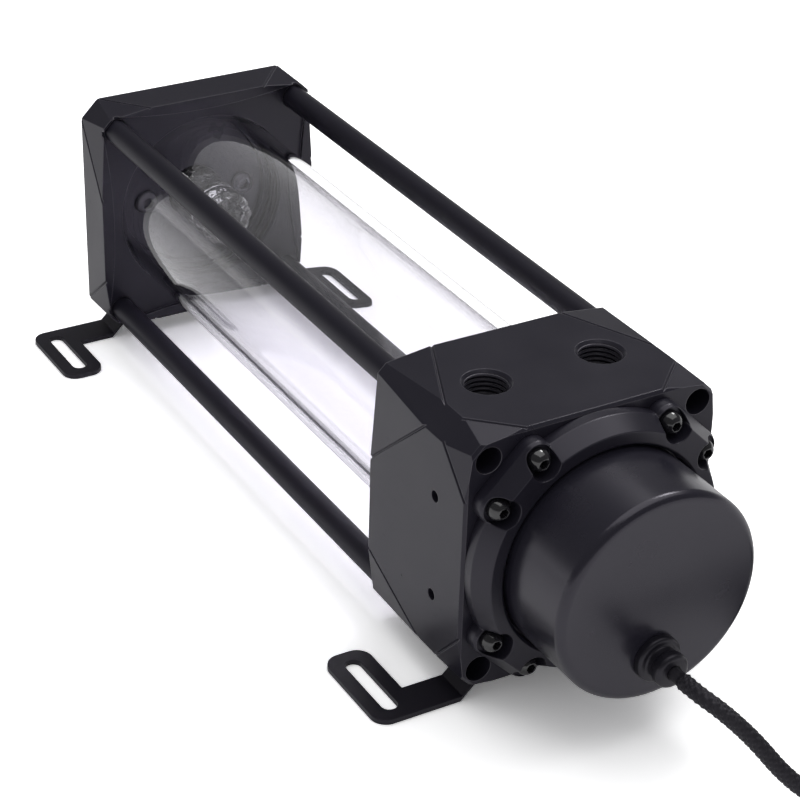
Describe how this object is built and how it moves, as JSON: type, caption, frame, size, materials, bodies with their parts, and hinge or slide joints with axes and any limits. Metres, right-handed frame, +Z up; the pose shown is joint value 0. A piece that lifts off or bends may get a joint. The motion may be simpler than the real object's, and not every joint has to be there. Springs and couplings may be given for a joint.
{
  "type": "coolant pump reservoir",
  "caption": "Coolant pump and reservoir: round motor pump clamped to a square black block, clear tube held to an end cap by tie rods, slotted feet, threaded top ports, sleeved lead.",
  "frame": {"origin": "on the standing surface, in the middle of the box round everything but the lead", "axes": "+Y along the tube from the pump to the end cap, +Z up, +X to the right seen from the pump"},
  "size_m": [0.1689, 0.3175, 0.0805],
  "materials": {
    "block_black": "machined acetal, matte black",
    "ring_black": "moulded, satin black",
    "tube_clear": "polished clear acrylic",
    "plug_clear": "polished clear acrylic",
    "seal_rubber": "black nitrile rubber",
    "grommet_rubber": "black moulded rubber",
    "rod_black": "black anodised, satin",
    "screw_black": "blackened steel, glossy",
    "insert_metal": "turned disc, black anodised",
    "foot_black": "powder coated steel sheet, matte black",
    "housing_black": "moulded, satin black",
    "steel": "drawn stainless steel",
    "stator_steel": "stacked silicon steel sheets",
    "copper": "enamelled copper wire",
    "magnet_grey": "ferrite magnet",
    "ceramic": "polished white ceramic",
    "graphite": "graphite-filled bearing plastic",
    "impeller_plastic": "moulded reinforced plastic",
    "board_green": "green solder mask",
    "component_black": "electronic parts",
    "cable_black": "black insulated cable",
    "sleeve_black": "black braided sleeve",
    "connector_black": "moulded nylon"
  },
  "bodies": {
    "assembly": {"bearing_ball": "ceramic", "bearing_pin": "steel", "board_components": "component_black", "cable_grommet": "grommet_rubber", "cap_insert": "insert_metal", "clamp_ring": "ring_black", "clamp_screws": "screw_black", "control_board": "board_green", "end_cap": "block_black", "foot_front_left": "foot_black", "foot_front_right": "foot_black", "foot_rear_left": "foot_black", "foot_rear_right": "foot_black", "foot_screws": "screw_black", "insert_screws": "screw_black", "lead_coil": "sleeve_black", "lead_connector": "connector_black", "lead_entry": "cable_black", "lead_tail": "sleeve_black", "light_plug": "plug_clear", "light_plug_seal": "seal_rubber", "pump_housing": "housing_black", "pump_lead": "sleeve_black", "pump_seal": "seal_rubber", "pump_top": "block_black", "reservoir_tube": "tube_clear", "rod_screws_front": "screw_black", "rod_screws_rear": "screw_black", "separation_can": "steel", "stator_core": "stator_steel", "stator_windings": "copper", "tie_rod_lower_left": "rod_black", "tie_rod_lower_right": "rod_black", "tie_rod_upper_left": "rod_black", "tie_rod_upper_right": "rod_black", "tube_seal_front": "seal_rubber", "tube_seal_rear": "seal_rubber"},
    "rotor": {"impeller": "impeller_plastic", "rotor_magnet": "magnet_grey", "bearing_cup": "graphite"}
  },
  "joints": [
    {"name": "impeller_spin", "type": "hinge", "parent": "assembly", "child": "rotor", "pos_m": [0, -0.10095, 0.043], "axis": [0, 1, 0], "continuous": true}
  ]
}
